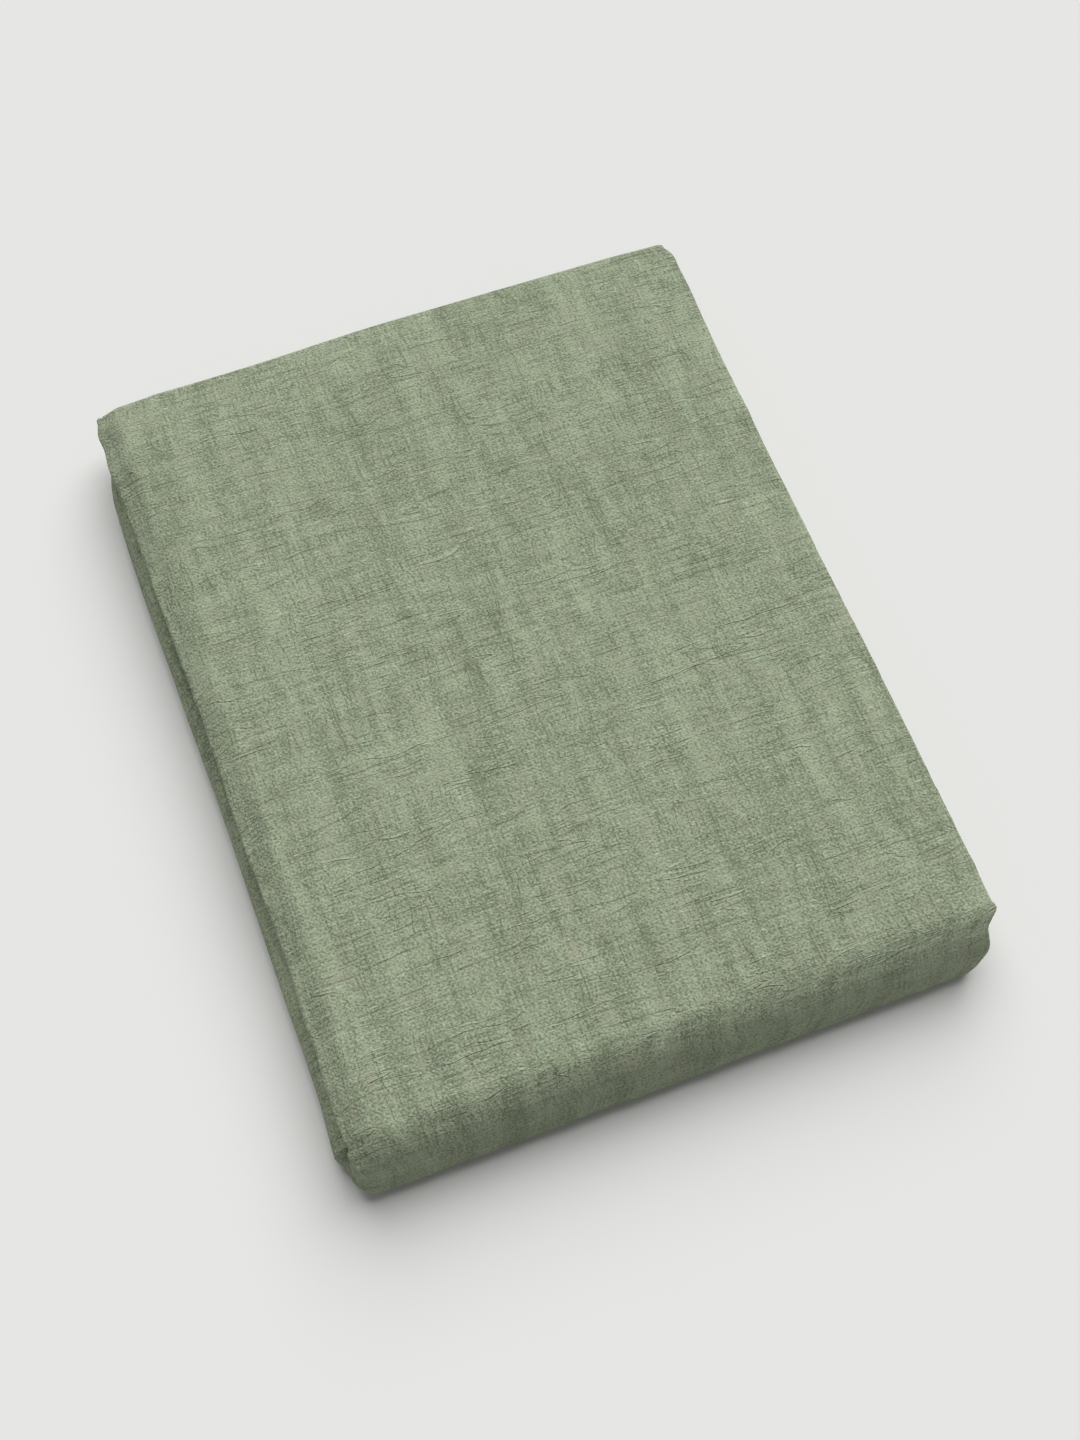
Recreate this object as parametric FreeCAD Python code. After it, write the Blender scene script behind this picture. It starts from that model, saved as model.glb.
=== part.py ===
import FreeCAD, Part
import os
from FreeCAD import Vector

# Folded linen-look tablecloth, millimetres. +X runs across the packet, +Y from the front roll to the
# back, +Z up. The origin is on the floor, under the middle of the packet's box.
# The cloth was doubled along its length, folded in half three times across its width into a strip of
# eight double panels, and that strip was folded once more, at the front roll, into two halves.

# Driving dimensions
panelWidth = 270.0      # one panel, between the strip's two long edges
packetLength = 356.0    # front of the roll to the back edge of the upper half
packetHeight = 36.0     # both halves together
lowerSlipLeft = 4.5     # the lower half stands out this far on the left
lowerSlipBack = 20.0    # the lower half stops this far short at the back
doublesPerHalf = 8      # double layers of cloth in one half
hemWidth = 25.0
threadThickness = 0.4
labelSize = (22.0, 12.0, 0.5)
labelFromRight = 62.0

# Clearances
bodyGap = 0.3           # between the two halves, and between them and the roll
layerGap = 0.1          # between neighbouring sections of one half

# Worked out
rollRadius = packetHeight / 2
halfHeight = rollRadius - bodyGap / 2
layer = halfHeight / doublesPerHalf
foldMiddle = halfHeight / 2
upperLeft = -panelWidth / 2
upperRight = panelWidth / 2
shiftX = lowerSlipLeft / 2
shiftY = -packetLength / 2
foldArm = 6.0           # flat part of a right-hand fold section
hemSetBack = 2.0        # free hems stop this far inside the right-hand folds
pairRadius = layer      # fold of two neighbouring double layers
quadRadius = 2 * layer  # fold of four
pairMiddle = layer
quadMiddle = 6 * layer

leafNames = ["outer", "second", "third", "inner"]


def edgeChain(points):
    """Closed wire from its start point through the other entries.

    An entry of one point is a line to it; an entry of two is an arc through the first to the second."""
    edges = []
    start = points[0]
    for entry in points[1:]:
        if len(entry) == 2:
            edges.append(Part.Arc(start, entry[0], entry[1]).toShape())
            start = entry[1]
        else:
            edges.append(Part.LineSegment(start, entry[0]).toShape())
            start = entry[0]
    edges.append(Part.LineSegment(start, points[0]).toShape())
    return Part.Wire(edges)


def foldSection(place, xMid, zMid, radii, side, armEnds, ySpan):
    """One section of folded cloth: two flat arms joined by a half-round fold on the given side.

    side is -1 for a fold on the left and +1 for one on the right; armEnds are the x where the lower
    and the upper arm stop."""
    outer, inner = radii
    lowEnd, highEnd = armEnds
    y = ySpan[0]
    chain = [
        place(lowEnd, y, zMid - outer),
        (place(xMid, y, zMid - outer),),
        (place(xMid + side * outer, y, zMid), place(xMid, y, zMid + outer)),
        (place(highEnd, y, zMid + outer),),
        (place(highEnd, y, zMid + inner),),
        (place(xMid, y, zMid + inner),),
        (place(xMid + side * inner, y, zMid), place(xMid, y, zMid - inner)),
        (place(lowEnd, y, zMid - inner),),
    ]
    return Part.Face(edgeChain(chain)).extrude(Vector(0, ySpan[1] - y, 0))


def slab(place, xSpan, ySpan, zSpan):
    """Flat block between three spans."""
    corners = [(xSpan[0], zSpan[0]), (xSpan[1], zSpan[0]), (xSpan[1], zSpan[1]), (xSpan[0], zSpan[1])]
    points = [place(x, ySpan[0], z) for x, z in corners]
    return Part.Face(Part.makePolygon(points + points[:1])).extrude(Vector(0, ySpan[1] - ySpan[0], 0))


def halfPlacer(isUpper):
    """Maps a half drawn with its outer skin at z = 0 to its place: the upper half is turned over."""
    slip = 0 if isUpper else -lowerSlipLeft

    def place(x, y, z):
        height = packetHeight - z if isUpper else z
        return Vector(x + slip + shiftX, y + shiftY, height)
    return place


def leafRadii(level):
    """Outer and inner radius of a left-hand fold: level 0 is the outer skin."""
    outer = foldMiddle - level * layer
    inner = outer - layer + layerGap
    return outer, inner


def armStops(level):
    """Where the arms of a leaf stop on the right: a fold section or a free hem goes on from there."""
    pairStop = upperRight - pairRadius - foldArm - layerGap
    quadStop = upperRight - quadRadius - foldArm - layerGap
    hemStop = upperRight - hemSetBack - hemWidth - threadThickness - 2 * layerGap
    lowStop = pairStop if level < 2 else hemStop
    return lowStop, quadStop


def leaves(place, ySpan):
    """The four nested leaves of a half, outermost first."""
    xMid = upperLeft + foldMiddle
    return [foldSection(place, xMid, foldMiddle, leafRadii(level), -1, armStops(level), ySpan)
            for level in range(len(leafNames))]


def rightFolds(place, ySpan):
    """The folds on the right: one pair near the skin, and a pair inside another near the middle."""
    pairX = upperRight - pairRadius
    quadX = upperRight - quadRadius
    spans = [
        ("skin", pairX, pairMiddle, (pairRadius, layerGap / 2)),
        ("middle", quadX, quadMiddle, (quadRadius, pairRadius + layerGap / 2)),
        ("core", quadX, quadMiddle, (pairRadius - layerGap / 2, layerGap / 2)),
    ]
    return {name: foldSection(place, xMid, zMid, radii, 1, (xMid - foldArm, xMid - foldArm), ySpan)
            for name, xMid, zMid, radii in spans}


def sideHems(place, ySpan):
    """The cloth's two side hems, which lie free between the right-hand folds."""
    right = upperRight - hemSetBack
    return [slab(place, (right - hemWidth, right), ySpan, (row * layer + layerGap, (row + 1) * layer))
            for row in (2, 3)]


def sideHemThreads(place, ySpan):
    """Sewing thread along the inner edge of each side hem."""
    right = upperRight - hemSetBack - hemWidth - layerGap
    return [slab(place, (right - threadThickness, right), ySpan, (row * layer + layerGap, (row + 1) * layer))
            for row in (2, 3)]


def frontFold(row):
    """One double layer of the front roll: half a tube about the hinge line. Row 0 is the outer skin."""
    outer = rollRadius - row * layer
    inner = max(outer - layer + layerGap, bodyGap / 2)
    middle = Vector(upperLeft - lowerSlipLeft / 2 + shiftX, rollRadius + shiftY, rollRadius)

    def at(dy, dz):
        return middle + Vector(0, dy, dz)
    chain = [at(0, -outer), (at(-outer, 0), at(0, outer)), (at(0, inner),), (at(-inner, 0), at(0, -inner))]
    return Part.Face(edgeChain(chain)).extrude(Vector(panelWidth, 0, 0))


def halfParts(isUpper):
    """Every section of one half, by node name."""
    place = halfPlacer(isUpper)
    prefix = "upper" if isUpper else "lower"
    start = rollRadius + bodyGap
    end = packetLength if isUpper else packetLength - lowerSlipBack
    endStart = end - hemWidth
    threadStart = endStart - layerGap - threadThickness
    leafEnd = endStart - layerGap if isUpper else threadStart - layerGap
    endName = "length_fold" if isUpper else "end_hem"
    found = {}
    for name, shape in zip(leafNames, leaves(place, (start, leafEnd))):
        found[prefix + "_leaf_" + name] = shape
    for name, shape in zip(leafNames, leaves(place, (endStart, end))):
        found[prefix + "_" + endName + "_" + name] = shape
    for name, shape in rightFolds(place, (start, end)).items():
        found[prefix + "_right_fold_" + name] = shape
    for name, shape in zip(("first", "last"), sideHems(place, (start, end))):
        found[prefix + "_side_hem_" + name] = shape
    found[prefix + "_side_hem_thread"] = Part.makeCompound(sideHemThreads(place, (start, end)))
    if not isUpper:
        threads = leaves(place, (threadStart, threadStart + threadThickness))
        found["end_hem_thread"] = Part.makeCompound(threads)
        right = upperRight - labelFromRight
        labelY = end + layerGap
        labelZ = 3 * layer
        found["care_label"] = slab(place, (right - labelSize[0], right), (labelY, labelY + labelSize[1]),
                                   (labelZ, labelZ + labelSize[2]))
    return found


parts = {}
parts.update(halfParts(False))
parts.update(halfParts(True))
for row in range(doublesPerHalf):
    parts["front_fold_" + str(row + 1)] = frontFold(row)

os.makedirs("parts", exist_ok=True)
box = FreeCAD.BoundBox()
for name, shape in parts.items():
    if not shape.isValid() or any(solid.Volume <= 0 for solid in shape.Solids):
        raise ValueError("bad solid: " + name)
    shape.exportStep("parts/" + name + ".step")
    box.add(shape.BoundBox)
print(len(parts), "parts, box", round(box.XLength, 2), round(box.YLength, 2), round(box.ZLength, 2))
print("centre", round(box.Center.x, 3), round(box.Center.y, 3), "floor", round(box.ZMin, 3))
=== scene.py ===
import math
import bpy
import numpy as np
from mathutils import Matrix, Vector


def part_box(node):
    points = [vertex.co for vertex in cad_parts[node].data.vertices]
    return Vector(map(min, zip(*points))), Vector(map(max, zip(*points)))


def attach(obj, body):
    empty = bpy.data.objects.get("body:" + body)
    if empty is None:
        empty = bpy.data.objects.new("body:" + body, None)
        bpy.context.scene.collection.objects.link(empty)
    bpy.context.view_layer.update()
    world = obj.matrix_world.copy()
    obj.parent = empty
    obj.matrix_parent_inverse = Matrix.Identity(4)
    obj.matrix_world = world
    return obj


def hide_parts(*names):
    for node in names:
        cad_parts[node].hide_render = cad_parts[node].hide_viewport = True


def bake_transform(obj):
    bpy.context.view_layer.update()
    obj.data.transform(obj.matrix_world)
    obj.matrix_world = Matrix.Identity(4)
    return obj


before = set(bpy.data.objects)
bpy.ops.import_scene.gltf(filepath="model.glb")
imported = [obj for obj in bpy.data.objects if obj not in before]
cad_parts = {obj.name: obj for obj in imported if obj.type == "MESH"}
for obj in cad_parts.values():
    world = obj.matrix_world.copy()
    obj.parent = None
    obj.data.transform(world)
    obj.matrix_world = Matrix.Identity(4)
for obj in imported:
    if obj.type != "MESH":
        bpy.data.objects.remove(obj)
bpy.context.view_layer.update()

# A crinkled linen-look tablecloth, folded into a packet. The cloth is drawn as the flat sheet it is and
# folded layer by layer, so every fold, hem and loose edge of the packet is really there.
# Lengths are millimetres up to the moment when a mesh is made.

mm = 0.001


def boxOf(node):
    low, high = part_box(node)
    return np.array(low) / mm, np.array(high) / mm


rollHigh = boxOf("front_fold_1")[1]
axisY = rollHigh[1]                                  # the hinge line of the last fold
radius = rollHigh[2] / 2                             # half the packet's height
upperReach = boxOf("upper_length_fold_outer")[1][1] - axisY
lowerReach = boxOf("lower_end_hem_outer")[1][1] - axisY
upperLeft = boxOf("upper_leaf_outer")[0][0]
upperRight = boxOf("upper_right_fold_skin")[1][0]
lowerLeft = boxOf("lower_leaf_outer")[0][0]
lowerRight = boxOf("lower_right_fold_skin")[1][0]
middleX = (upperLeft + upperRight) / 2
print("frame read: half height", round(float(radius), 2), "upper reach", round(float(upperReach), 1))


# small tools for numbers

def smooth(value, start, end):
    t = np.clip((value - start) / (end - start), 0, 1)
    return t * t * (3 - 2 * t)


def noise(x, y, seed):
    # smooth noise between -1 and 1, one lump to each unit
    table = np.random.RandomState(seed).rand(61, 61) * 2 - 1
    xFloor, yFloor = np.floor(x), np.floor(y)
    dx, dy = x - xFloor, y - yFloor
    dx = dx ** 3 * (dx * (dx * 6 - 15) + 10)
    dy = dy ** 3 * (dy * (dy * 6 - 15) + 10)
    i, j = xFloor.astype(int) % 61, yFloor.astype(int) % 61
    iNext, jNext = (i + 1) % 61, (j + 1) % 61
    low = table[i, j] * (1 - dx) + table[iNext, j] * dx
    high = table[i, jNext] * (1 - dx) + table[iNext, jNext] * dx
    return low * (1 - dy) + high * dy


def ridges(x, y, seed, sharpness):
    # narrow crests where the noise crosses zero, 0 to 1
    return (1 - np.abs(noise(x, y, seed))) ** sharpness


def curveThrough(points, at):
    # smooth curve through a few (place, value) points, read at many places
    places, values = np.array(points, float).T
    slope = np.gradient(values, places)
    at = np.clip(at, places[0], places[-1])
    left = np.clip(np.searchsorted(places, at) - 1, 0, len(places) - 2)
    span = places[left + 1] - places[left]
    t = (at - places[left]) / span
    start = (2 * t ** 3 - 3 * t ** 2 + 1) * values[left] + (t ** 3 - 2 * t ** 2 + t) * span * slope[left]
    end = (3 * t ** 2 - 2 * t ** 3) * values[left + 1] + (t ** 3 - t ** 2) * span * slope[left + 1]
    return start + end


def steps(low, high, step):
    return np.linspace(low, high, max(2, int(round(abs(high - low) / step)) + 1))


# the folds of the cloth

cloth = {
    "sheets": 16,               # single layers in one half
    "thickness": 0.4,
    "hemWidth": 25.0,
    "hemTurn": 7.0,             # the raw edge is turned in this far
    "topStep": 1.6,             # mesh step on the layer that lies on top
    "faceStep": 7.0,            # on the layers that meet at the middle of the packet
    "innerStep": 22.0,          # on the hidden layers
    "lowerStep": 6.0,           # along the lower half
    "hiddenStep": 20.0,         # along the hidden sheets
    "rollStep": 2.0,
    "rimTurns": 22,             # mesh steps round the outermost left-hand fold
    "foldTurns": 8,             # round every other fold
    "rollBulge": 0.02,          # how much the roll bellies out in its middle
    "bulgeHalf": 135,           # half the width over which it does
    "backRound": 0.6,           # how far the closed fold at the back stands out, in spacings
    "sag": 1.8,                 # how far the overhanging back of the upper half droops
    "crown": 0.8,               # how much the packet is puffed up in its middle
    "margin": (4.4, 10.5),      # the top slopes down by this much towards its left rim, over this width
    "brow": (2.0, 34.0),        # by this much towards the roll, over this length
    "sideThin": 0.9,            # and by this much towards both sides
    "backThin": (0.8, 40.0),    # and towards the back, over this length
    "wave": 0.5,                # long soft waves of the top,
    "waveSize": (62, 95),       # so wide and so long,
    "ripple": 0.6,              # with ripples on them, as a share of their height,
    "rippleSize": (31, 70),     # so wide and so long
    "bands": 0.42,              # heights of the fabric's crinkle: broad bands along the cloth,
    "creases": 0.26,            # creases across it,
    "uprights": 0.2,            # creases along it,
    "puckers": 0.09,            # and the small lumps between them
    "faceFreedom": 1.0,         # share of that crinkle on the layer that shows,
    "foldFreedom": 0.5,         # on the folds,
    "innerFreedom": 0.22,       # and on the pressed layers inside
    "rimBead": 0.8,             # the skin's left rim stands up by this much, like a piped edge
    "beadPlace": 0.8,           # at this share of the fold's turn
    "beadWidth": 0.09,
}
# How the folds at the sides lie over each other.
sideFolds = {
    "crispness": 0.85,          # outline of the left-hand folds away from the skin, 1 being round
    "leftRagged": 0.45,         # how far the left-hand folds under the skin wander
    "rightRagged": 0.5,         # and the right-hand ends of all layers
    "rightSlack": 0.3,          # the right-hand folds stay inside the edge by this much
    "hemInset": 3.2,            # the side hems between them lie this far inside the edge
    "coreInset": 1.0,           # and the inner folds lie deeper by this much
}
# How the free ends step and wander at the back, millimetres beyond the reach: the skin's end, how much
# further the innermost layer goes, and how ragged the ends are between them.
looseEnds = {
    "lower": (-4.0, 7.0, 1.2),
    "upper": (-3.4, 2.4, 0.9),
    "lowerCorner": 3.0,         # the lower half's left corner is pulled in by this much,
    "cornerFrom": (118, 138),   # which sets in between these distances from the middle
    "over": 60,                 # the ends begin to wander this far before the reach
    "settled": 24,              # and the lower ones stop this far before it
}
panelOrder = [3, 4, 7, 0, 1, 6, 5, 2]    # where the cloth's eight panels lie in a half, 0 being its skin
spacing = (radius - 0.15 - cloth["thickness"]) / (cloth["sheets"] - 1)
skinHeight = cloth["thickness"] / 2

# The packet's edges: (distance from the hinge line or angle round the roll, which goes from below, -90,
# over the front, 0, to the top, 90; millimetres to the right of the CAD edge). The roll uses the upper edge.
edges = {
    "lowerLeft": [(0, 5.9), (23, 7.1), (65, 6.2), (109, 5.6), (154, 4.9), (203, 3.4), (243, 2.0), (296, 1.6),
                  (311, 2.2), (318, 3.9)],
    "rollLeft": [(-90, 1.4), (-80, 3.4), (-68, 6.6), (-54, 5.4), (-34, 5.2), (-12, 6.0), (8, 6.6), (28, 7.0),
                 (44, 8.0), (64, 6.8), (79, 8.0), (90, 7.2)],
    "upperLeft": [(0, 7.2), (24, 7.2), (58, 7.6), (84, 7.4), (113, 6.3), (168, 5.5), (215, 4.3), (252, 3.1),
                  (280, 2.6), (300, 1.7), (310, 1.0), (322, 1.3), (330, 0.7), (337, 2.0)],
    "lowerRight": [(0, 1.5), (60, 0.4), (160, -0.4), (250, 0.6), (318, -0.4)],
    "rollRight": [(-90, -3.0), (-66, -10.0), (-44, -13.0), (-24, -9.0), (-8, -6.0), (12, -5.5), (34, -6.3),
                  (48, -6.0), (62, -3.4), (74, -1.0), (84, -1.2), (90, -2.1)],
    "upperRight": [(0, -2.1), (36, -2.5), (90, -2.2), (182, -1.9), (235, -1.7), (294, -0.9), (322, -0.4),
                   (333, -0.5), (337, -2.3)],
}
# The roll's own outline: angle, how far in front of the hinge line and how far above it, in half heights.
# It slopes down gently from the top, then stands nearly upright, and turns under close to the floor.
rollProfile = [(-90, 0.0, -1.0), (-74, 0.58, -0.965), (-58, 0.9, -0.82), (-38, 0.96, -0.55),
               (-15, 0.86, -0.2), (5, 0.76, 0.1), (20, 0.7, 0.35), (32, 0.63, 0.54), (45, 0.51, 0.7),
               (60, 0.35, 0.84), (75, 0.18, 0.945), (90, 0.0, 1.0)]
# How the left-hand folds stand out: round like a bolster below, pressed to a crisp upper rim above.
foldReach = [(-90, 1.0), (-30, 1.0), (5, 0.95), (30, 0.7), (60, 0.58), (90, 0.55)]
foldCrispness = [(-90, 1.0), (-20, 1.0), (10, 0.8), (32, 0.5), (60, 0.36), (90, 0.34)]


def layerHeight(double):
    # middle of a double layer above the outer skin of its half
    return skinHeight + spacing * (2 * double + 0.5)


def hemAcross(isFirst):
    # double-turned hem of a free side edge: share of the panel, and nearness to the middle of the layer
    width = upperRight - upperLeft
    inner, raw = cloth["hemWidth"] / width, cloth["hemTurn"] / width
    path = [(1 - inner + raw, 0.15), (1 - inner + raw / 2, 0.15), (1 - inner, 0.2), (1 - inner - 0.001, 0.32),
            (1 - inner, 0.44), (1 - inner / 2, 0.45), (0.997, 0.45), (1.001, 0.6), (1.001, 0.85)]
    return path if isFirst else path[::-1]


def acrossLines():
    # lines that run along the strip: layer they come from, layer they lead to, share or side, turn, depth
    width = upperRight - upperLeft
    lines = []
    for number, double in enumerate(panelOrder):
        goesRight = number % 2 == 1
        step = {0: cloth["topStep"], 7: cloth["faceStep"]}.get(double, cloth["innerStep"])
        shares = steps(0, 1, step / width)
        shares = shares if goesRight else shares[::-1]
        if number == 0:
            lines += [(double, double, share, 0.0, depth) for share, depth in hemAcross(True)]
        lines += [(double, double, share, 0.0, 1.0) for share in shares]
        if number == len(panelOrder) - 1:
            lines += [(double, double, share, 0.0, depth) for share, depth in hemAcross(False)]
            break
        following = panelOrder[number + 1]
        turns = cloth["rimTurns"] if {double, following} == {0, 7} else cloth["foldTurns"]
        side = 1.0 if goesRight else 0.0
        lines += [(double, following, side, turn, 1.0) for turn in np.linspace(0, 1, turns + 2)[1:-1]]
    return lines


def alongLines():
    # lines that run across the strip, from one end hem over the outer sheet to the fold at the back of the
    # upper half, and back along the inner sheet to the other end hem: part, place, sheet
    hem, raw = cloth["hemWidth"], cloth["hemTurn"]
    turned = [(hem - raw, 0.15), (hem - raw / 2, 0.15), (hem, 0.2), (hem + 0.3, 0.32), (hem, 0.44),
              (hem / 2, 0.45), (0.8, 0.45), (-0.2, 0.6), (-0.2, 0.85)]
    arc = math.pi * (radius - skinHeight)
    angles = steps(-90, 90, 180 * cloth["rollStep"] / arc)
    backAngles = steps(90, -90, 360 * cloth["rollStep"] / arc)
    rows = [("lower", lowerReach - away, depth) for away, depth in turned]
    rows += [("lower", at, 1.0) for at in steps(lowerReach, 0, cloth["lowerStep"])]
    rows += [("roll", at, 1.0) for at in angles[1:-1]]
    rows += [("upper", at, 1.0) for at in steps(0, upperReach, cloth["topStep"])]
    rows += [("upper", upperReach, math.cos(math.pi * turn)) for turn in np.linspace(0, 1, 8)[1:-1]]
    rows += [("upper", at, -1.0) for at in steps(upperReach, 0, cloth["hiddenStep"])]
    rows += [("roll", at, -1.0) for at in backAngles[1:-1]]
    rows += [("lower", at, -1.0) for at in steps(0, lowerReach, cloth["hiddenStep"])]
    rows += [("lower", lowerReach - away, -depth) for away, depth in turned[::-1]]
    return rows


lines, rows = acrossLines(), alongLines()
fromLayer, toLayer, share, turn, hemDepth = [np.array(column, float)[:, None] for column in zip(*lines)]
part = np.array([row[0] for row in rows])[None, :]
place = np.array([row[1] for row in rows], float)[None, :]
sheet = np.array([row[2] for row in rows], float)[None, :]
isLower, isRoll, isUpper = part == "lower", part == "roll", part == "upper"
angle = np.where(isLower, -90.0, np.where(isUpper, 90.0, place))
distance = np.where(isRoll, 0.0, place)
print("cloth grid", len(lines), "by", len(rows))


def edgeAt(side, lowerEdge, upperEdge):
    lower = lowerEdge + curveThrough(edges["lower" + side], distance)
    roll = upperEdge + curveThrough(edges["roll" + side], angle)
    upper = upperEdge + curveThrough(edges["upper" + side], distance)
    return np.where(isLower, lower, np.where(isRoll, roll, upper))


leftEdge = edgeAt("Left", lowerLeft, upperLeft)
rightEdge = edgeAt("Right", lowerRight, upperRight)
reach = curveThrough(foldReach, angle)
crispness = curveThrough(foldCrispness, angle)


def sectionOfStrip():
    # where every crossing of the grid lies in the strip's own section: x, and height above the skin
    low, high = layerHeight(fromLayer), layerHeight(toLayer)
    middle, rise = (low + high) / 2, (low - high) / 2
    height = middle + rise * np.cos(math.pi * turn)
    isFold = turn > 0
    isLeftFold = isFold & (share < 0.5)
    stand = np.sin(math.pi * turn) * np.ones_like(leftEdge)
    skinSide = height < layerHeight(3.5)
    shaped = np.where(isLeftFold & skinSide, stand ** crispness, stand ** sideFolds["crispness"])
    leftMiddle = leftEdge + 7 * spacing * reach + spacing / 2
    along = axisY + distance
    lift = np.minimum(fromLayer, 7 - fromLayer)
    leftRagged = np.where(lift > 0, sideFolds["leftRagged"], 0.0)
    ragged = noise(along / 47 + lift * 3.7, lift * 5.3 + angle / 60, 21) * leftRagged
    rightInset = np.where(np.maximum(fromLayer, toLayer) < 2, 1.5 * spacing,
                          np.where(np.minimum(fromLayer, toLayer) > 3, 3.5 * spacing + sideFolds["coreInset"],
                                   sideFolds["hemInset"]))
    rightRagged = noise(along / 53 + fromLayer, angle / 50 + 4.1, 22) * sideFolds["rightRagged"]
    rightMiddle = rightEdge - rightInset - sideFolds["rightSlack"] + rightRagged
    flatX = leftMiddle + (rightMiddle - leftMiddle) * share
    leftX = leftMiddle - np.abs(rise) * reach * shaped + ragged * stand
    rightX = rightMiddle + np.abs(rise) * stand
    x = np.where(isFold, np.where(share > 0.5, rightX, leftX), flatX)
    return x, height * np.ones_like(x)


def offsetSheets(x, height):
    # the two sheets of a double layer lie half a spacing to either side of its middle
    alongX, alongHeight = np.gradient(x, axis=0), np.gradient(height, axis=0)
    length = np.maximum(np.hypot(alongX, alongHeight), 1e-9)
    offset = sheet * hemDepth * spacing / 2
    return x + offset * alongHeight / length, height - offset * alongX / length


def bendStrip(x, height):
    # the last fold: the strip lies flat in the lower half, goes round the roll and lies flat in the upper one
    depth = np.clip(height, 0, radius)
    inward = smooth(depth, 0, radius)
    skinEnd, further, ragged = looseEnds["lower"]
    lowerEnd = skinEnd + further * inward + ragged * noise(depth / 2.3, x / 90, 31)
    lowerEnd = lowerEnd - looseEnds["lowerCorner"] * smooth(-x, *looseEnds["cornerFrom"])
    skinEnd, further, ragged = looseEnds["upper"]
    upperEnd = skinEnd + further * smooth(depth, 0.5, 4) + ragged * noise(depth / 2.3, x / 110, 32)
    over, settled = looseEnds["over"], looseEnds["settled"]
    farLower = distance + lowerEnd * smooth(distance, lowerReach - over, lowerReach - settled)
    farUpper = distance + upperEnd * smooth(distance, upperReach - over, upperReach)
    belly = 1 + cloth["rollBulge"] * (1 - ((x - middleX) / cloth["bulgeHalf"]) ** 4)
    forward = curveThrough([(at, reached) for at, reached, _ in rollProfile], angle) * belly
    rising = curveThrough([(at, risen) for at, _, risen in rollProfile], angle)
    y = np.where(isLower, farLower, np.where(isUpper, farUpper, -(radius - height) * forward))
    z = np.where(isLower, height, np.where(isUpper, 2 * radius - height, radius + (radius - height) * rising))
    turnBack = np.where(isUpper & (np.abs(sheet) < 0.999), np.sqrt(np.clip(1 - sheet ** 2, 0, 1)), 0.0)
    return axisY + y + turnBack * spacing * cloth["backRound"], z


def softenHeight(x, y, z):
    # the whole stack moves together: a soft crown, long waves, thinner edges and a drooping overhang
    level = z / (2 * radius)
    across = (x - middleX) / (upperRight - middleX)
    back = y - axisY
    crown = cloth["crown"] * (1 - across ** 4)
    (waveWide, waveLong), (rippleWide, rippleLong) = cloth["waveSize"], cloth["rippleSize"]
    ripple = cloth["ripple"] * noise(x / rippleWide, y / rippleLong + 9, 42)
    wave = cloth["wave"] * (noise(x / waveWide + 3, y / waveLong, 41) + ripple)
    fall, length = cloth["backThin"]
    thinner = cloth["sideThin"] * smooth(np.abs(across), 0.8, 1.0)
    thinner = thinner + fall * smooth(back, upperReach - length, upperReach)
    fall, length = cloth["brow"]
    thinner = thinner + fall * (1 - smooth(back, -6, length))
    drop, width = cloth["margin"]
    thinner = thinner + drop * (1 - smooth(x - leftEdge, 0.5, width)) * smooth(angle, 0, 80)
    z = z + level * (crown + wave - thinner)
    droop = cloth["sag"] * smooth(back, lowerReach - 12, upperReach + 6) ** 1.5
    return z - np.where(isUpper, droop, 0.0)


def gridNormals(points):
    along = np.gradient(points, axis=0)
    over = np.gradient(points, axis=1)
    normal = np.cross(along, over)
    return normal / np.maximum(np.linalg.norm(normal, axis=2, keepdims=True), 1e-12)


def crinkle(u, v):
    # height of the crinkled fabric at a place on the flat cloth
    wander = 3.0 * noise(u / 40, v / 23, 51)
    bands = ridges(u / 33 + 0.4 * noise(u / 80, v / 60, 52), v / 120, 53, 7)
    creases = ridges(u / 30 + 2, (v + wander) / 7.0, 54, 6) * smooth(noise(u / 45, v / 30, 55), -0.3, 0.4)
    uprights = ridges((u + wander) / 6.5, v / 24 + 5, 56, 6) * smooth(noise(u / 26, v / 50, 57), -0.1, 0.6)
    puckers = noise(u / 8.5, v / 7.0, 58) + 0.6 * noise(u / 4.2, v / 3.9, 59)
    return (cloth["bands"] * bands + cloth["creases"] * creases + cloth["uprights"] * uprights
            + cloth["puckers"] * puckers)


def layFlat(points):
    # place of every crossing on the flat cloth: u across its width and v along its length
    middle = points.shape[1] // 2
    alongU = np.linalg.norm(np.diff(points[:, middle], axis=0), axis=1)
    u = np.concatenate([[0], np.cumsum(alongU)])[:, None] * np.ones((1, points.shape[1]))
    topLine = int(np.argmin(np.abs(fromLayer[:, 0]) + np.abs(share[:, 0] - 0.5) + turn[:, 0] * 9))
    alongV = np.linalg.norm(np.diff(points[topLine], axis=0), axis=1)
    v = np.concatenate([[0], np.cumsum(alongV)])[None, :] * np.ones((points.shape[0], 1))
    return u, v


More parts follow.
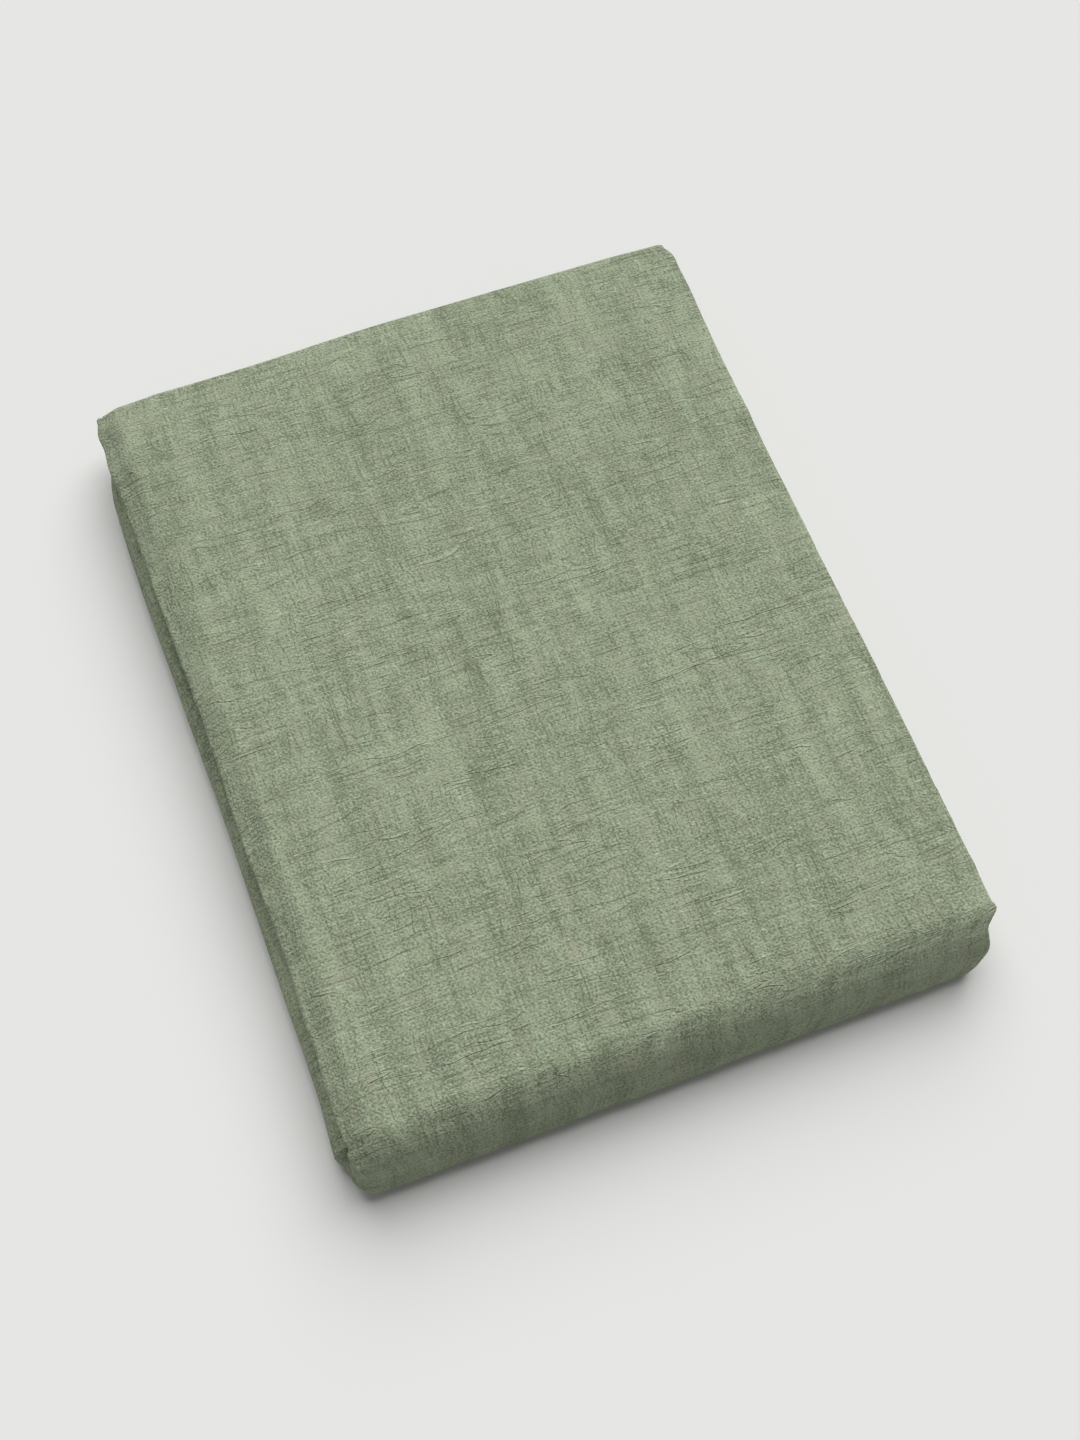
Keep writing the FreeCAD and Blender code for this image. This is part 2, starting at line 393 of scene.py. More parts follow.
sectionX, sectionHeight = offsetSheets(*sectionOfStrip())
sectionY, sectionZ = bendStrip(sectionX, sectionHeight)
points = np.stack([sectionX, sectionY, softenHeight(sectionX, sectionY, sectionZ)], axis=2)
flatU, flatV = layFlat(points)
normals = gridNormals(points)
isSkin = (fromLayer == 0) | (toLayer == 0)
isOpen = (sheet > 0.999) & isSkin & (isUpper | isRoll)
pressed = np.where(turn > 0, cloth["foldFreedom"], cloth["innerFreedom"])
freedom = np.where(isOpen, cloth["faceFreedom"], pressed)
bead = np.exp(-((turn - cloth["beadPlace"]) / cloth["beadWidth"]) ** 2)
rim = np.where((turn > 0) & (fromLayer == 7), bead, 0.0)
uneven = 1 + 0.6 * noise(flatV / 9, flatU / 50, 61)
rimBead = cloth["rimBead"] * rim * uneven * smooth(angle, 10, 60) * (sheet > 0.999)
relief = freedom * crinkle(flatU, flatV) + rimBead
points = points + normals * relief[:, :, None]
points[:, :, 2] = np.maximum(points[:, :, 2], 0.05)
normals = gridNormals(points)
print("flat cloth", round(float(flatU.max())), "by", round(float(flatV.max())), "mm")


def clothPiece(name, spans):
    # a mesh from one or two runs of the grid's rows, with the cloth's own flat coordinates as its UV map
    vertices, faces, flat, shading = [], [], [], []
    for first, last in spans:
        block = points[:, first:last + 1]
        base = sum(len(earlier) for earlier in vertices)
        acrossCount, alongCount = block.shape[:2]
        index = np.arange(acrossCount * alongCount).reshape(acrossCount, alongCount) + base
        vertices.append(block.reshape(-1, 3))
        shading.append(normals[:, first:last + 1].reshape(-1, 3))
        flat.append(np.stack([flatU[:, first:last + 1], flatV[:, first:last + 1]], axis=2).reshape(-1, 2))
        corners = [index[:-1, :-1], index[1:, :-1], index[1:, 1:], index[:-1, 1:]]
        faces.append(np.stack(corners, axis=2).reshape(-1, 4))
    vertices, faces = np.concatenate(vertices) * mm, np.concatenate(faces)
    flat, shading = np.concatenate(flat) * mm, np.concatenate(shading)
    mesh = bpy.data.meshes.new(name)
    mesh.from_pydata(vertices.tolist(), [], faces.tolist())
    layer = mesh.uv_layers.new(name="flatCloth")
    layer.data.foreach_set("uv", flat[faces.ravel()].astype(np.float32).ravel())
    mesh.polygons.foreach_set("use_smooth", np.ones(len(faces), bool))
    mesh.normals_split_custom_set_from_vertices(shading.tolist())
    piece = bpy.data.objects.new(name, mesh)
    bpy.context.scene.collection.objects.link(piece)
    return piece


partList = [row[0] for row in rows]
firstUpper, lastUpper = partList.index("upper"), len(rows) - 1 - partList[::-1].index("upper")
firstRoll, lastRoll = partList.index("roll"), len(rows) - 1 - partList[::-1].index("roll")
upperCloth = clothPiece("upper_cloth", [(firstUpper, lastUpper)])
rollSpans = [(firstRoll - 1, firstUpper), (lastUpper, lastRoll + 1)]
rollCloth = clothPiece("front_roll", rollSpans)
lowerCloth = clothPiece("lower_cloth", [(0, firstRoll - 1), (lastRoll + 1, len(rows) - 1)])
for piece in (upperCloth, rollCloth, lowerCloth):
    print(piece.name, len(piece.data.polygons) * 2, "triangles")


# hem stitching: one stitch, repeated along every hem

stitching = {
    "pitch": 3.4,               # drawn a little longer than a real hem stitch, so that it shows
    "length": 2.5,
    "thickness": 0.45,
    "dip": 0.55,                # how far its ends go down, in thicknesses
    "taper": 0.55,              # how thin its ends are
    "fromEdge": 22.5,           # from the hem's folded edge
}


def editFaces(thing, isWanted):
    # goes to edit mode with only the wanted faces selected
    bpy.ops.object.mode_set(mode="EDIT")
    bpy.ops.mesh.select_mode(type="FACE")
    bpy.ops.mesh.select_all(action="DESELECT")
    bpy.ops.object.mode_set(mode="OBJECT")
    for face in thing.data.polygons:
        face.select = isWanted(face)
    bpy.ops.object.mode_set(mode="EDIT")


def makeStitch():
    # a short cord along X that dips into the cloth at both ends
    length, thickness = stitching["length"] * mm, stitching["thickness"] * mm
    dip = -thickness * stitching["dip"]
    bpy.ops.object.select_all(action="DESELECT")
    bpy.ops.mesh.primitive_cylinder_add(vertices=6, radius=thickness / 2, depth=length * 0.5,
                                        rotation=(0, math.pi / 2, 0))
    stitch = bpy.context.object
    bpy.ops.object.transform_apply(location=True, rotation=True, scale=True)
    for side in (-1, 1):
        editFaces(stitch, lambda face: face.normal.x * side > 0.9)
        bpy.ops.mesh.extrude_region_move(
            TRANSFORM_OT_translate={"value": (side * length * 0.25, 0, dip)})
        bpy.ops.transform.resize(value=(1, stitching["taper"], stitching["taper"]),
                                 center_override=(side * length / 2, 0, dip))
        bpy.ops.object.mode_set(mode="OBJECT")
    return stitch


def readGrid(grid, lineAt, rowAt):
    # value between the crossings of the cloth grid
    line, row = np.floor(lineAt).astype(int), np.floor(rowAt).astype(int)
    nextLine, nextRow = np.minimum(line + 1, grid.shape[0] - 1), np.minimum(row + 1, grid.shape[1] - 1)
    acrossPart, alongPart = (lineAt - line)[:, None], (rowAt - row)[:, None]
    near = grid[line, row] * (1 - acrossPart) + grid[nextLine, row] * acrossPart
    far = grid[line, nextRow] * (1 - acrossPart) + grid[nextLine, nextRow] * acrossPart
    return near * (1 - alongPart) + far * alongPart


def stitchesAlong(lineAt, rowAt):
    # places of the stitches along a seam that is given as lines and rows of the cloth grid
    path = readGrid(points, lineAt, rowAt)
    gone = np.concatenate([[0], np.cumsum(np.linalg.norm(np.diff(path, axis=0), axis=1))])
    stops = np.arange(stitching["pitch"] / 2, gone[-1] - stitching["pitch"] / 2, stitching["pitch"])
    lineStops, rowStops = np.interp(stops, gone, lineAt), np.interp(stops, gone, rowAt)
    place = readGrid(points, lineStops, rowStops)
    up = readGrid(normals, lineStops, rowStops)
    up = up / np.linalg.norm(up, axis=1, keepdims=True)
    reachAhead = stitching["length"] / 2
    ends = [np.stack([np.interp(stops + way * reachAhead, gone, path[:, axis]) for axis in range(3)], axis=1)
            for way in (-1, 1)]
    ahead = ends[1] - ends[0]
    ahead = ahead - up * (ahead * up).sum(axis=1, keepdims=True)
    ahead = ahead / np.maximum(np.linalg.norm(ahead, axis=1, keepdims=True), 1e-9)
    weight = np.interp(rowStops, np.arange(points.shape[1]), (angle[0] + 90) / 180)
    return place * mm, ahead, up, weight


def stitchedPiece(name, runs):
    # one mesh of all the stitches of some seams, and how far round the roll each of its points is
    shape = np.array([vertex.co for vertex in stitch.data.vertices])
    loops = [list(face.vertices) for face in stitch.data.polygons]
    found = [stitchesAlong(*run) for run in runs]
    place, ahead, up, weight = (np.concatenate(column) for column in zip(*found))
    aside = np.cross(up, ahead)
    vertices = (place[:, None] + shape[None, :, :1] * ahead[:, None] + shape[None, :, 1:2] * aside[:, None]
                + shape[None, :, 2:] * up[:, None]).reshape(-1, 3)
    faces = [[corner + number * len(shape) for corner in loop]
             for number in range(len(place)) for loop in loops]
    mesh = bpy.data.meshes.new(name)
    mesh.from_pydata(vertices.tolist(), [], faces)
    mesh.polygons.foreach_set("use_smooth", np.ones(len(faces), bool))
    piece = bpy.data.objects.new(name, mesh)
    bpy.context.scene.collection.objects.link(piece)
    print(name, len(place), "stitches")
    return piece, np.repeat(weight, len(shape))


def sideSeams(partName):
    # the runs of the two side hems, on both sheets, that belong to one part of the packet
    width = upperRight - upperLeft
    runs = []
    for double in (panelOrder[0], panelOrder[-1]):
        isPanel = (fromLayer[:, 0] == double) & (toLayer[:, 0] == double) & (hemDepth[:, 0] == 1)
        where = np.flatnonzero(isPanel)
        order = np.argsort(share[where, 0])
        lineHere = np.interp(1 - stitching["fromEdge"] / width, share[where, 0][order], where[order])
        for side in (1.0, -1.0):
            rowsHere = np.flatnonzero((part[0] == partName) & (sheet[0] == side))
            runs.append((np.full(len(rowsHere), lineHere), rowsHere.astype(float)))
    return runs


def endSeams():
    # the runs of the two end hems, which follow the cloth through all eight panels
    inHalf = np.flatnonzero(isLower[0] & (np.abs(sheet[0]) == 1))
    wantedAt = lowerReach - stitching["fromEdge"]
    runs = []
    for side in (1.0, -1.0):
        rowsHere = inHalf[sheet[0][inHalf] == side]
        order = np.argsort(place[0][rowsHere])
        rowHere = np.interp(wantedAt, place[0][rowsHere][order], rowsHere[order])
        isPlain = np.flatnonzero(hemDepth[:, 0] == 1)
        runs.append((isPlain.astype(float), np.full(len(isPlain), rowHere)))
    return runs


stitch = makeStitch()
endStitching, _ = stitchedPiece("end_hem_stitching", endSeams())
lowerStitching, _ = stitchedPiece("lower_side_hem_stitching", sideSeams("lower"))
upperStitching, _ = stitchedPiece("upper_side_hem_stitching", sideSeams("upper"))
rollStitching, rollStitchWeight = stitchedPiece("roll_side_hem_stitching", sideSeams("roll"))
bpy.data.objects.remove(stitch)

# the care label: a blank tab of folded satin tape, caught in the end hem

label = {
    "tape": 0.22,               # thickness
    "gap": 0.3,                 # half the space between the tape's two layers
    "caught": 5.0,              # length held inside the hem
    "droop": 1.1,
    "lift": 0.1,                # above the underside of its place
    "shorter": 0.6,             # room for the turn at its end
    "roundSteps": 6,
    "softEdge": 0.08,
}


def labelRoute(reachOut):
    # the tape's way out of the hem, round its folded end and back: distance out, and height
    gap, caught = label["gap"], label["caught"]
    route = [(caught * share, 0) for share in (0.5, 1)]
    route += [(caught + reachOut * share, -label["droop"] * share ** 2) for share in (0.25, 0.5, 0.75, 1)]
    outEnd = route[-1]
    route += [(outEnd[0] + gap * math.sin(turn), outEnd[1] + gap * (1 - math.cos(turn)))
              for turn in np.linspace(0, math.pi, label["roundSteps"] + 1)[1:]]
    return route + [(along, height + 2 * gap) for along, height in route[4::-1]]


def makeLabel():
    # a strip of tape that is drawn out along its route, then thickened
    low, high = boxOf("care_label")
    width = high[0] - low[0]
    route = labelRoute(high[1] - low[1] - label["shorter"])
    first = route[0][0]
    start = ((low[0] + high[0]) / 2 * mm, (low[1] - label["caught"] + first / 2) * mm,
             (low[2] + label["lift"]) * mm)
    bpy.ops.object.select_all(action="DESELECT")
    bpy.ops.mesh.primitive_plane_add(size=1, location=(0, 0, 0))
    tape = bpy.context.object
    tape.name = "care_label_tape"
    bpy.ops.transform.resize(value=(width * mm, first * mm, 1))
    bpy.ops.transform.translate(value=start)
    bpy.ops.object.transform_apply(location=True, rotation=True, scale=True)
    bpy.ops.object.mode_set(mode="EDIT")
    bpy.ops.mesh.select_mode(type="EDGE")
    bpy.ops.mesh.select_all(action="DESELECT")
    bpy.ops.object.mode_set(mode="OBJECT")
    farSide = max(vertex.co.y for vertex in tape.data.vertices)
    for edge in tape.data.edges:
        edge.select = all(tape.data.vertices[corner].co.y > farSide - 1e-6 for corner in edge.vertices)
    bpy.ops.object.mode_set(mode="EDIT")
    for before, after in zip(route, route[1:]):
        step = (0, (after[0] - before[0]) * mm, (after[1] - before[1]) * mm)
        bpy.ops.mesh.extrude_region_move(TRANSFORM_OT_translate={"value": step})
    bpy.ops.object.mode_set(mode="OBJECT")
    thick = tape.modifiers.new("tape", "SOLIDIFY")
    thick.thickness = label["tape"] * mm
    thick.offset = 0
    soft = tape.modifiers.new("soft", "BEVEL")
    soft.width = label["softEdge"] * mm
    soft.segments = 2
    for modifier in (thick, soft):
        bpy.ops.object.modifier_apply(modifier=modifier.name)
    bpy.ops.object.shade_smooth_by_angle(angle=math.radians(35))
    flatLength = sum(math.dist(a, b) for a, b in zip(route, route[1:])) + first
    print("label tape", round(float(flatLength), 1), "mm long")
    return tape, (width * mm, flatLength * mm)


careLabel, labelFlat = makeLabel()

# materials

def linear(hexColour):
    values = [int(hexColour[i:i + 2], 16) / 255 for i in (1, 3, 5)]
    return [v / 12.92 if v <= 0.04045 else ((v + 0.055) / 1.055) ** 2.4 for v in values] + [1.0]


def addNode(tree, kind, settings=None, links=None):
    node = tree.nodes.new(kind)
    for name, value in (settings or {}).items():
        if isinstance(name, int) or name in node.inputs:
            node.inputs[name].default_value = value
        else:
            setattr(node, name, value)
    for name, source in (links or {}).items():
        tree.links.new(source, node.inputs[name])
    return node


def stretchedNoise(tree, flat, size, shift, detail=2.0):
    # noise whose lumps are size = (across, along) millimetres on the flat cloth
    mapping = addNode(tree, "ShaderNodeMapping",
                      {"Location": (shift, shift * 1.7, 0), "Scale": (1000 / size[0], 1000 / size[1], 1)},
                      {"Vector": flat})
    lumps = addNode(tree, "ShaderNodeTexNoise",
                    {"noise_dimensions": "2D", "Scale": 1.0, "Detail": detail, "Roughness": 0.55},
                    {"Vector": mapping.outputs[0]})
    return lumps.outputs[0]


def crests(tree, source, middle, width):
    # thin crests where a noise passes one value, 0 to 1
    centred = addNode(tree, "ShaderNodeMath", {"operation": "SUBTRACT", 1: middle}, {0: source})
    folded = addNode(tree, "ShaderNodeMath", {"operation": "ABSOLUTE"}, {0: centred.outputs[0]})
    crest = addNode(tree, "ShaderNodeMapRange",
                    {"interpolation_type": "SMOOTHSTEP", "From Max": width, "To Min": 1.0, "To Max": 0.0},
                    {"Value": folded.outputs[0]})
    return crest.outputs[0]


def weightedSum(tree, terms):
    # adds up (source, weight) pairs
    total = None
    for source, weight in terms:
        operation = "MULTIPLY" if total is None else "MULTIPLY_ADD"
        links = {0: source} if total is None else {0: source, 2: total}
        total = addNode(tree, "ShaderNodeMath", {"operation": operation, 1: weight}, links).outputs[0]
    return total


def newMaterial(name):
    material = bpy.data.materials.new(name)
    material.use_nodes = True
    material.node_tree.nodes.clear()
    return material, material.node_tree


linenLook = {
    "sage": "#a9b59a",          # the dyed yarn on the face of the weave
    "shade": "#78816a",         # darker yarn and the gaps between yarns, and the painted shade in creases
    "worn": "#a29c88",          # thin greyer-brown patches
    "fleck": "#c9cdb9",         # undyed flecks
    "threadSpacing": 1.0,       # drawn about twice as coarse as the real weave, so that it shows
    "swim": 0.0045,             # metres that the creases wander, over lumps of this size
    "swimLumps": (28, 22),
    "toneRange": (2.07, 3.05),  # sums of the tones below that are fully shaded and fully sage
    "wornShare": 0.36,
    "fleckShare": 0.5,
    "roughness": 0.9,
    "sheen": 0.03,
    "specular": 0.12,
}
# The cloth's unevenness: size of its lumps across and along the cloth, shift, detail, and whether it
# wanders with the creases.
linenNoises = {
    "patches": ((11, 9), 9.0, 4.0, False),
    "bands": ((8, 75), 2.0, 3.0, True),
    "slow": ((60, 80), 4.0, 2.0, False),
    "acrossYarns": ((26, 1.0), 6.0, 2.0, False),
    "alongYarns": ((1.0, 20), 8.0, 2.0, False),
    "grain": ((1.0, 0.85), 1.0, 1.0, False),
    "puckers": ((6.0, 4.0), 12.0, 2.0, True),
    "worn": ((11, 17), 15.0, 4.0, False),
    "flecks": ((4.5, 0.8), 17.0, 0.0, False),
}
# Its creases: size and shift of the noise whose level lines they are; size and shift of the areas where
# they show, and where those begin and are full; and each line's name, level and width. The dark lines are
# painted shade of the creases and the pale lines are painted highlight, on top of their bumps.
linenCreases = [
    ((52, 6.6), 11.0, (34, 17), 21.0, (0.46, 0.56), [("longCreaseShade", 0.5, 0.018), ("longCreaseHighlight", 0.525, 0.016)]),
    ((30, 3.0), 5.0, (26, 15), 27.0, (0.47, 0.58), [("fineCreaseShade", 0.48, 0.024), ("fineCreaseHighlight", 0.52, 0.02)]),
    ((5.0, 40), 7.0, (16, 34), 31.0, (0.48, 0.56), [("uprightCreaseShade", 0.5, 0.022)]),
]
# how much each of them lightens the yarn; the crease lines darken it with painted shade and lighten it with
# painted highlight
linenTones = [("patches", 0.5), ("bands", 0.9), ("slow", 0.3), ("acrossYarns", 0.75), ("alongYarns", 0.7),
              ("grain", 2.0), ("weave", 0.07), ("longCreaseShade", -0.14), ("longCreaseHighlight", 0.26), ("fineCreaseShade", -0.1),
              ("fineCreaseHighlight", 0.2), ("uprightCreaseShade", -0.34)]
# and how far it raises the face of the cloth, in metres: creases by tenths of a millimetre, yarns by less
linenRelief = [("longCreaseShade", -0.00018), ("longCreaseHighlight", 0.00018), ("fineCreaseShade", -0.0001), ("fineCreaseHighlight", 0.0001),
               ("uprightCreaseShade", -0.00014), ("puckers", 0.0005), ("acrossYarns", 0.00014),
               ("alongYarns", 0.0001), ("weave", 0.00004), ("grain", 0.00028)]


def makeLinen():
    # Washed linen-look plain weave, piece dyed: matt, with thick and thin yarns, fine creases across the
    # cloth and softer ones along it, whose shade and highlight are painted into the colour as well as bumped,
    # and a colour that is paler and greyer where the yarns are thin.
    look = linenLook
    material, tree = newMaterial("washed_linen_plain_weave")
    flat = addNode(tree, "ShaderNodeUVMap", {"uv_map": "flatCloth"}).outputs[0]

    # the creases wander, so what follows them reads a slightly swum place on the cloth
    swum = []
    for shift in (3.1, 8.4):
        lumps = stretchedNoise(tree, flat, look["swimLumps"], shift)
        moved = addNode(tree, "ShaderNodeMath", {"operation": "MULTIPLY", 1: look["swim"]}, {0: lumps})
        swum.append(moved.outputs[0])
    offset = addNode(tree, "ShaderNodeCombineXYZ", {}, {"X": swum[0], "Y": swum[1]}).outputs[0]
    wavy = addNode(tree, "ShaderNodeVectorMath", {"operation": "ADD"}, {0: flat, 1: offset}).outputs[0]

    pattern = {}
    for name, (size, shift, detail, wanders) in linenNoises.items():
        pattern[name] = stretchedNoise(tree, wavy if wanders else flat, size, shift, detail)
    for size, shift, areaSize, areaShift, (begin, full), creases in linenCreases:
        source = stretchedNoise(tree, wavy, size, shift, 1.0)
        lumps = stretchedNoise(tree, flat, areaSize, areaShift)
        area = addNode(tree, "ShaderNodeMapRange", {"interpolation_type": "SMOOTHSTEP", "From Min": begin,
                                                    "From Max": full}, {"Value": lumps})
        # each crease line is painted shade (dark lines) or painted highlight (pale lines) in the colour, and
        # a bump as well
        for name, level, width in creases:
            shown = addNode(tree, "ShaderNodeMath", {"operation": "MULTIPLY"},
                            {0: crests(tree, source, level, width), 1: area.outputs[0]})
            pattern[name] = shown.outputs[0]

    # plain weave: two rows of threads that cross, seen as the product of two waves
    turns = 1000 * math.pi / look["threadSpacing"]
    axes = addNode(tree, "ShaderNodeSeparateXYZ", {}, {0: wavy})
    waves = []
    for axis in (0, 1):
        scaled = addNode(tree, "ShaderNodeMath", {"operation": "MULTIPLY", 1: turns}, {0: axes.outputs[axis]})
        wave = addNode(tree, "ShaderNodeMath", {"operation": "SINE"}, {0: scaled.outputs[0]})
        waves.append(wave.outputs[0])
    weave = addNode(tree, "ShaderNodeMath", {"operation": "MULTIPLY"}, {0: waves[0], 1: waves[1]})
    pattern["weave"] = weave.outputs[0]

    # colour: how pale the yarn is, with the creases' painted shade and highlight, and where it is worn
    pale = weightedSum(tree, [(pattern[name], weight) for name, weight in linenTones])
    shaded, full = look["toneRange"]
    tone = addNode(tree, "ShaderNodeMapRange", {"From Min": shaded, "From Max": full}, {"Value": pale})
    yarn = addNode(tree, "ShaderNodeMix", {"data_type": "RGBA", 6: linear(look["shade"]),
                                           7: linear(look["sage"])}, {"Factor": tone.outputs[0]})
    wornMask = addNode(tree, "ShaderNodeMapRange",
                       {"From Min": 0.46, "From Max": 0.66, "To Max": look["wornShare"]},
                       {"Value": pattern["worn"]})
    wornHere = addNode(tree, "ShaderNodeMath", {"operation": "MULTIPLY"},
                       {0: wornMask.outputs[0], 1: tone.outputs[0]})
    worn = addNode(tree, "ShaderNodeMix", {"data_type": "RGBA", 7: linear(look["worn"])},
                   {"Factor": wornHere.outputs[0], 6: yarn.outputs[2]})
    fleckMask = addNode(tree, "ShaderNodeMapRange",
                        {"From Min": 0.81, "From Max": 0.85, "To Max": look["fleckShare"]},
                        {"Value": pattern["flecks"]})
    colour = addNode(tree, "ShaderNodeMix", {"data_type": "RGBA", 7: linear(look["fleck"])},
                     {"Factor": fleckMask.outputs[0], 6: worn.outputs[2]})

    relief = weightedSum(tree, [(pattern[name], height) for name, height in linenRelief])
    bump = addNode(tree, "ShaderNodeBump", {"Strength": 1.0, "Distance": 1.0}, {"Height": relief})
    shader = addNode(tree, "ShaderNodeBsdfPrincipled",
                     {"Roughness": look["roughness"], "Sheen Weight": look["sheen"], "Sheen Roughness": 0.5,
                      "Specular IOR Level": look["specular"]},
                     {"Base Color": colour.outputs[2], "Normal": bump.outputs[0]})
    addNode(tree, "ShaderNodeOutputMaterial", {}, {"Surface": shader.outputs[0]})
    return material


threadLook = {
    "dark": "#7f8c72",
    "pale": "#a9b69a",
    "twist": 0.25,              # millimetres
    "lean": 0.6,                # how far the twist leans, radians
}


def makeThread():
    # spun polyester sewing thread, dyed a shade paler than the cloth: slightly glossy, with a fine twist
    look = threadLook
    material, tree = newMaterial("spun_polyester_thread")
    position = addNode(tree, "ShaderNodeTexCoord").outputs["Object"]
    mapping = addNode(tree, "ShaderNodeMapping",
                      {"Rotation": (0, 0, look["lean"]),
                       "Scale": (1000 / look["twist"], 1000 / look["twist"], 1)},
                      {"Vector": position})
    twist = addNode(tree, "ShaderNodeTexNoise", {"Scale": 1.0, "Detail": 1.0}, {"Vector": mapping.outputs[0]})
    colour = addNode(tree, "ShaderNodeMix",
                     {"data_type": "RGBA", 6: linear(look["dark"]), 7: linear(look["pale"])},
                     {"Factor": twist.outputs[0]})
    bump = addNode(tree, "ShaderNodeBump", {"Strength": 0.4, "Distance": 0.0001},
                   {"Height": twist.outputs[0]})
    shader = addNode(tree, "ShaderNodeBsdfPrincipled", {"Roughness": 0.5, "Sheen Weight": 0.1},
                     {"Base Color": colour.outputs[2], "Normal": bump.outputs[0]})
    addNode(tree, "ShaderNodeOutputMaterial", {}, {"Surface": shader.outputs[0]})
    return material


tapeLook = {
    "dark": "#d6d4ca",
    "pale": "#eeece4",
    "floats": (6.0, 0.35),      # length and width of a float, millimetres
}


def makeTape():
    # blank polyester satin tape: off-white, with the low soft gloss of floats that run across it
    look = tapeLook
    material, tree = newMaterial("polyester_satin_tape")
    position = addNode(tree, "ShaderNodeTexCoord").outputs["Object"]
    long, narrow = look["floats"]
    mapping = addNode(tree, "ShaderNodeMapping", {"Scale": (1000 / long, 1000 / narrow, 1000 / narrow)},
                      {"Vector": position})
    floats = addNode(tree, "ShaderNodeTexNoise", {"Scale": 1.0, "Detail": 2.0},
                     {"Vector": mapping.outputs[0]})
    colour = addNode(tree, "ShaderNodeMix",
                     {"data_type": "RGBA", 6: linear(look["dark"]), 7: linear(look["pale"])},
                     {"Factor": floats.outputs[0]})
    bump = addNode(tree, "ShaderNodeBump", {"Strength": 0.5, "Distance": 0.0001},
                   {"Height": floats.outputs[0]})
    shader = addNode(tree, "ShaderNodeBsdfPrincipled", {"Roughness": 0.38, "Sheen Weight": 0.2},
                     {"Base Color": colour.outputs[2], "Normal": bump.outputs[0]})
    addNode(tree, "ShaderNodeOutputMaterial", {}, {"Surface": shader.outputs[0]})
    return material


linen, thread, tape = makeLinen(), makeThread(), makeTape()
for piece in (upperCloth, rollCloth, lowerCloth):
    piece.data.materials.append(linen)
for piece in (endStitching, lowerStitching, upperStitching, rollStitching):
    piece.data.materials.append(thread)
careLabel.data.materials.append(tape)
print("materials ready")

# which body each piece moves with

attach(upperCloth, "upper_half")
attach(upperStitching, "upper_half")
for piece in (lowerCloth, lowerStitching, endStitching, careLabel):
    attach(piece, "lower_half")
turned = np.degrees(np.arctan2(points[:, :, 2] - radius, axisY - points[:, :, 1]))
rollShare = np.where(np.abs(angle) == 90, angle > 0, np.clip((turned + 90) / 180, 0, 1))
rollWeights = np.concatenate([rollShare[:, first:last + 1].ravel() for first, last in rollSpans])
for piece, weights in ((rollCloth, rollWeights), (rollStitching, rollStitchWeight)):
    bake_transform(piece)

nodeNames = list(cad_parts)
threadNodes = [name for name in nodeNames if name.endswith("_thread")]
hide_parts(*[n for n in nodeNames if n.startswith("upper_") and n not in threadNodes])
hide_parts(*[n for n in nodeNames if n.startswith("lower_") and n not in threadNodes])
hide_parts(*[n for n in nodeNames if n.startswith("front_fold")])
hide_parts("end_hem_thread")
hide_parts("lower_side_hem_thread")
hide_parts("upper_side_hem_thread")
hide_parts("care_label")

# floor, light and camera

studio = {
    "floorSize": 6.0,           # metres
    "floorColour": "#e6e6e4",
    "floorRoughness": 0.9,
    "backdropRadius": 2.95,     # metres
    "backdropColour": "#e3e3e1",
    "lookAt": (4.55, -14.7, 0.0),
    "distance": 749.0,
    "azimuth": -20.42,
    "elevation": 65.59,
    "lens": 44.6,
    "keyFrom": (0.36, 0.72, 1.0),   # a large soft light, high up and behind, a little to the right
    "keySpread": 64.0,
    "keyStrength": 3.2,
    "skyStrength": 0.2,
}

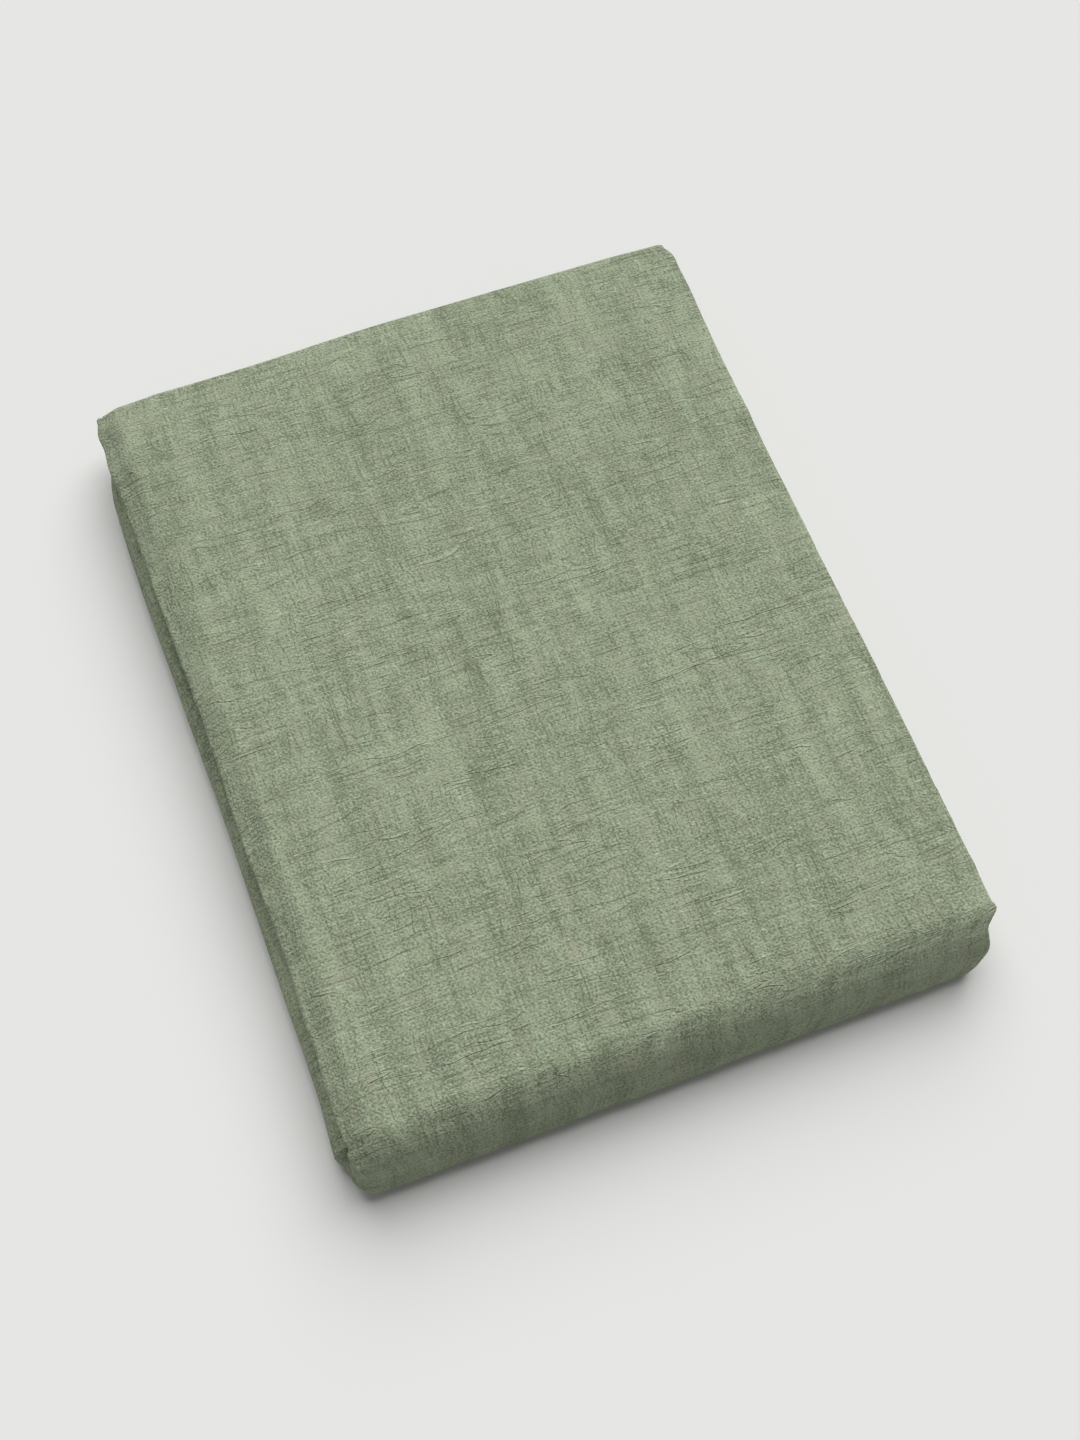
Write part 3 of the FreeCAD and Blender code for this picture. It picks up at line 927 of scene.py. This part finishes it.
bpy.ops.mesh.primitive_plane_add(size=studio["floorSize"], location=(0, 0, 0))
floor = bpy.context.object
floor.name = "floor"
floorMaterial = bpy.data.materials.new("pale_floor")
floorMaterial.use_nodes = True
floorShader = floorMaterial.node_tree.nodes["Principled BSDF"]
floorShader.inputs["Base Color"].default_value = linear(studio["floorColour"])
floorShader.inputs["Roughness"].default_value = studio["floorRoughness"]
floor.data.materials.append(floorMaterial)
bpy.ops.mesh.primitive_uv_sphere_add(segments=64, ring_count=32, radius=studio["backdropRadius"],
                                     location=(0, 0, 0))
backdrop = bpy.context.object
backdrop.name = "backdrop"
bpy.ops.object.shade_smooth()
# the pale backdrop is only there to be seen: it neither lights the cloth nor shades it
backdrop.visible_diffuse = False
backdrop.visible_glossy = False
backdrop.visible_shadow = False
backdropMaterial = bpy.data.materials.new("pale_backdrop")
backdropMaterial.use_nodes = True
backdropShader = backdropMaterial.node_tree.nodes["Principled BSDF"]
backdropShader.inputs["Base Color"].default_value = linear("#000000")
backdropShader.inputs["Specular IOR Level"].default_value = 0.0
backdropShader.inputs["Emission Color"].default_value = linear(studio["backdropColour"])
backdropShader.inputs["Emission Strength"].default_value = 1.0
backdrop.data.materials.append(backdropMaterial)

azimuth, elevation = math.radians(studio["azimuth"]), math.radians(studio["elevation"])
target = Vector(studio["lookAt"]) * mm
away = Vector((math.sin(azimuth) * math.cos(elevation), -math.cos(azimuth) * math.cos(elevation),
               math.sin(elevation)))
camera = bpy.data.objects.new("camera", bpy.data.cameras.new("camera"))
camera.data.lens = studio["lens"]
camera.data.clip_start = 0.01
camera.location = target + away * studio["distance"] * mm
camera.rotation_euler = (-away).to_track_quat("-Z", "Y").to_euler()
bpy.context.scene.collection.objects.link(camera)
bpy.context.scene.camera = camera

key = bpy.data.objects.new("key", bpy.data.lights.new("key", "SUN"))
key.data.energy = studio["keyStrength"]
key.data.angle = math.radians(studio["keySpread"])
key.rotation_euler = Vector(studio["keyFrom"]).to_track_quat("Z", "Y").to_euler()
bpy.context.scene.collection.objects.link(key)
world = bpy.data.worlds.new("studio")
world.use_nodes = True
world.node_tree.nodes["Background"].inputs["Color"].default_value = (1, 1, 1, 1)
world.node_tree.nodes["Background"].inputs["Strength"].default_value = studio["skyStrength"]
bpy.context.scene.world = world
bpy.context.scene.view_settings.view_transform = "Standard"
